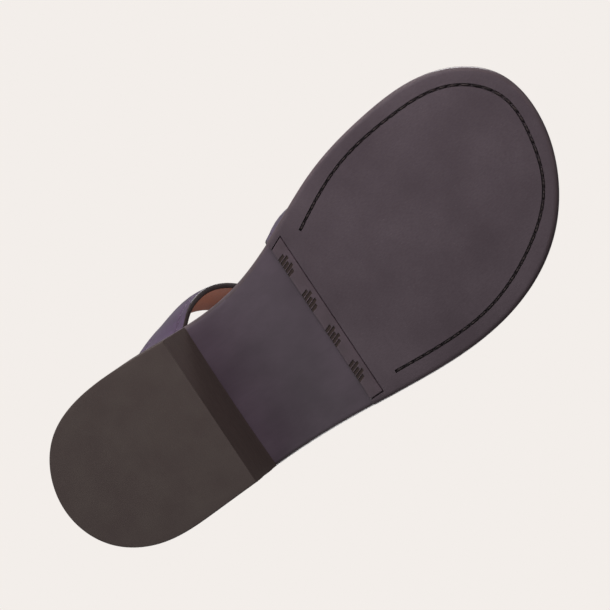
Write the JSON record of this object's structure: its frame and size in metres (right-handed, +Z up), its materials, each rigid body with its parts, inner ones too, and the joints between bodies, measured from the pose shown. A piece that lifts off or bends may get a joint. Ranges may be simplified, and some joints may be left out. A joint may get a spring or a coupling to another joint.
{
  "type": "toe post sandal",
  "caption": "Left flat leather toe post sandal with two crossed straps, a toe stem, a low stacked heel and a stitched half sole.",
  "frame": {"origin": "on the ground under the middle of the sole's bounding box", "axes": "+Y to the toe, +X to the inner (big toe) side of the foot, +Z up; the sandal stands on its heel and half sole"},
  "size_m": [0.1037, 0.2601, 0.086],
  "materials": {
    "top_lift": "matt, finely mottled from wear",
    "heel_leather": "dyed edge, waxed",
    "half_sole_leather": "matt sueded tread",
    "waist_leather": "burnished and polished",
    "strip_leather": "satin, tooled with slanted bars",
    "midsole_leather": "dyed edge",
    "sole_thread": "waxed linen thread",
    "steel": "spring steel",
    "nail_brass": "plain",
    "cork": "granulated cork",
    "board": "insole fibreboard",
    "foam": "latex foam",
    "footbed_leather": "smooth lining leather with light wear",
    "strap_leather": "high gloss patent",
    "strap_lining_leather": "smooth, semi matt",
    "strap_thread": "bonded thread",
    "post_leather": "soft rolled leather",
    "post_cord": "twisted cord"
  },
  "bodies": {
    "root": {"top_lift": "top_lift", "heel_lift_lower": "heel_leather", "heel_lift_middle": "heel_leather", "heel_lift_upper": "heel_leather", "heel_nails": "nail_brass", "half_sole": "half_sole_leather", "transition_strip": "strip_leather", "channel_thread": "sole_thread", "outsole": "waist_leather", "midsole": "midsole_leather", "shank": "steel", "shank_rivets": "steel", "cork_filler": "cork", "insole_board": "board", "footbed_foam": "foam", "footbed_cover": "footbed_leather", "rear_inner_strap_lining": "strap_lining_leather", "rear_inner_strap_outer": "strap_leather", "rear_outer_strap_lining": "strap_lining_leather", "rear_outer_strap_outer": "strap_leather", "strap_tacks": "steel", "crossing_stitches": "strap_thread", "toe_stem_lining": "strap_lining_leather", "toe_stem_outer": "strap_leather", "toe_post_wrap": "post_leather", "toe_post_core": "post_cord", "toe_post_washer": "steel"}
  },
  "joints": []
}
